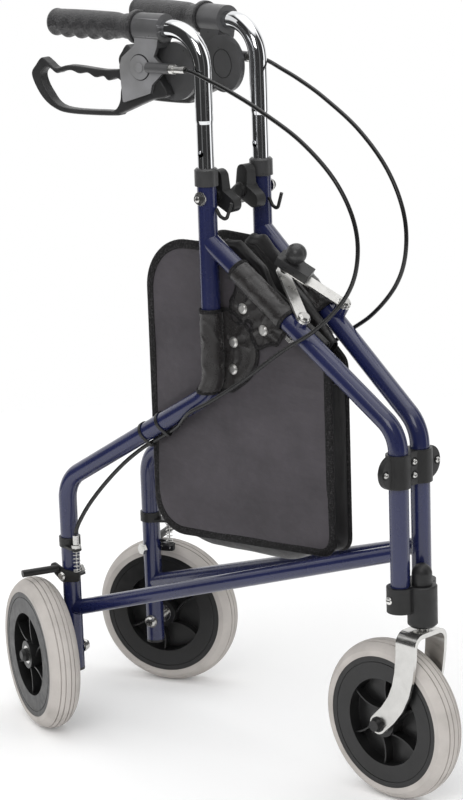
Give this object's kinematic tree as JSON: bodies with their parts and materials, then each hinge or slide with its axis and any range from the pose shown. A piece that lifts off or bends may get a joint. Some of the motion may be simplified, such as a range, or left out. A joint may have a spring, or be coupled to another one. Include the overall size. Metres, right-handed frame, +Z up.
{
  "type": "three wheel rollator",
  "caption": "Folding walking aid with a swivelling front wheel, braked rear wheels, height-adjustable handles with loop brake levers and a cloth shopping bag",
  "frame": {"origin": "on the floor at the middle of the bounding box", "axes": "+X forward to the single front wheel, +Y to the left of the person walking behind it, +Z up"},
  "size_m": [0.6612, 0.3118, 0.8812],
  "materials": {
    "navy": "glossy navy powder coat",
    "chrome": "bright chrome plate",
    "zinc": "zinc plated steel",
    "black": "black moulded plastic",
    "gloss_black": "glossy black plastic",
    "grip_rubber": "textured black rubber",
    "tyre_rubber": "light grey solid rubber",
    "bag_cloth": "charcoal woven nylon",
    "cable_casing": "black cable casing"
  },
  "bodies": {
    "front_hub": {"hinge_bracket": "black", "hinge_screws": "zinc", "caster_housing": "black", "caster_cap": "black", "caster_bearings": "zinc"},
    "caster": {"caster_fork": "chrome", "caster_stem": "zinc", "caster_axle": "black"},
    "front_wheel": {"front_tyre": "tyre_rubber", "front_rim": "black", "front_wheel_bearings": "zinc"},
    "right_frame": {"right_post_and_leg": "navy", "right_front_tube": "navy", "right_lower_bar": "navy", "right_post_collar": "black", "right_frame_bolts": "zinc", "right_plug_and_ties": "black", "right_bag_hook": "black", "right_brake_bracket": "black", "right_brake_spring": "zinc", "right_brake_cable": "cable_casing", "right_axle": "zinc", "right_bag_half": "bag_cloth", "right_bag_snaps": "chrome"},
    "right_wheel": {"right_tyre": "tyre_rubber", "right_rim": "black", "right_wheel_bearings": "zinc"},
    "right_handle": {"right_handle_tube": "chrome", "right_grip": "grip_rubber", "right_brake_housing": "black", "right_lever_hardware": "zinc"},
    "right_lever": {"right_brake_lever": "black"},
    "right_brake": {"right_brake_arm": "black"},
    "right_knob": {"right_height_knob": "black"},
    "right_brace": {"right_brace_bar": "zinc"},
    "left_frame": {"left_post_and_leg": "navy", "left_front_tube": "navy", "left_lower_bar": "navy", "left_post_collar": "black", "left_frame_bolts": "zinc", "left_plug_and_ties": "black", "left_bag_hook": "black", "left_brake_bracket": "black", "left_brake_spring": "zinc", "left_brake_cable": "cable_casing", "left_axle": "zinc", "left_bag_half": "bag_cloth", "left_bag_snaps": "chrome"},
    "left_wheel": {"left_tyre": "tyre_rubber", "left_rim": "black", "left_wheel_bearings": "zinc"},
    "left_handle": {"left_handle_tube": "chrome", "left_grip": "grip_rubber", "left_brake_housing": "black", "left_lever_hardware": "zinc"},
    "left_lever": {"left_brake_lever": "black"},
    "left_brake": {"left_brake_arm": "black"},
    "left_knob": {"left_height_knob": "black"},
    "left_brace": {"left_brace_bar": "zinc", "brace_knob": "gloss_black"}
  },
  "joints": [
    {"name": "right_fold", "type": "hinge", "parent": "front_hub", "child": "right_frame", "pos_m": [0.26712, -0.018, 0.3], "axis": [0, 0, 1], "range_deg": [0, 21.5]},
    {"name": "left_fold", "type": "hinge", "parent": "front_hub", "child": "left_frame", "pos_m": [0.26712, 0.018, 0.3], "axis": [0, 0, 1], "range_deg": [-21.5, 0]},
    {"name": "caster_swivel", "type": "hinge", "parent": "front_hub", "child": "caster", "pos_m": [0.28312, 0, 0.2], "axis": [0, 0, 1], "continuous": true},
    {"name": "front_wheel_spin", "type": "hinge", "parent": "caster", "child": "front_wheel", "pos_m": [0.23712, 0, 0.0935], "axis": [0, 1, 0], "continuous": true},
    {"name": "right_wheel_spin", "type": "hinge", "parent": "right_frame", "child": "right_wheel", "pos_m": [-0.2421, -0.10813, 0.0935], "axis": [-0.3665, -0.9304, 0], "continuous": true},
    {"name": "right_handle_height", "type": "slide", "parent": "right_frame", "child": "right_handle", "axis": [0, 0, 1], "range_m": [-0.045, 0.075], "deforming": ["right_brake_cable"]},
    {"name": "right_lever_squeeze", "type": "hinge", "parent": "right_handle", "child": "right_lever", "pos_m": [-0.07213, -0.05246, 0.818], "axis": [-0.1011, 0.9949, 0], "range_deg": [0, 11], "stiffness_Nm_per_rad": 2, "springref_deg": -5.73, "deforming": ["right_brake_spring"]},
    {"name": "right_brake", "type": "hinge", "parent": "right_frame", "child": "right_brake", "pos_m": [-0.22634, -0.06812, 0.189], "axis": [0.1011, -0.9949, 0], "range_deg": [0, 11]},
    {"name": "right_knob_turn", "type": "hinge", "parent": "right_frame", "child": "right_knob", "pos_m": [0.00743, -0.02428, 0.6745], "axis": [0.1011, -0.9949, 0], "continuous": true},
    {"name": "right_brace_swing", "type": "hinge", "parent": "right_frame", "child": "right_brace", "pos_m": [0.13182, -0.03174, 0.5359], "axis": [-0.589, -0.0598, -0.8059], "range_deg": [0, 69]},
    {"name": "left_wheel_spin", "type": "hinge", "parent": "left_frame", "child": "left_wheel", "pos_m": [-0.2421, 0.10813, 0.0935], "axis": [-0.3665, 0.9304, 0], "continuous": true},
    {"name": "left_handle_height", "type": "slide", "parent": "left_frame", "child": "left_handle", "axis": [0, 0, 1], "range_m": [-0.045, 0.075], "deforming": ["left_brake_cable"]},
    {"name": "left_lever_squeeze", "type": "hinge", "parent": "left_handle", "child": "left_lever", "pos_m": [-0.07213, 0.05246, 0.818], "axis": [0.1011, 0.9949, 0], "range_deg": [0, 11], "stiffness_Nm_per_rad": 2, "springref_deg": -5.73, "deforming": ["left_brake_spring"]},
    {"name": "left_brake", "type": "hinge", "parent": "left_frame", "child": "left_brake", "pos_m": [-0.22634, 0.06812, 0.189], "axis": [-0.1011, -0.9949, 0], "range_deg": [0, 11]},
    {"name": "left_knob_turn", "type": "hinge", "parent": "left_frame", "child": "left_knob", "pos_m": [0.00743, 0.02428, 0.6745], "axis": [0.1011, 0.9949, 0], "continuous": true},
    {"name": "left_brace_swing", "type": "hinge", "parent": "left_frame", "child": "left_brace", "pos_m": [0.13182, 0.03174, 0.5359], "axis": [0.589, -0.0598, 0.8059], "range_deg": [0, 69]}
  ],
  "couplings": [
    {"joint": "left_fold", "follows": "right_fold", "ratio": -1},
    {"joint": "right_brace_swing", "follows": "right_fold", "ratio": 3.2},
    {"joint": "right_brake", "follows": "right_lever_squeeze", "ratio": 1},
    {"joint": "left_brace_swing", "follows": "right_fold", "ratio": 3.2},
    {"joint": "left_brake", "follows": "left_lever_squeeze", "ratio": 1}
  ]
}
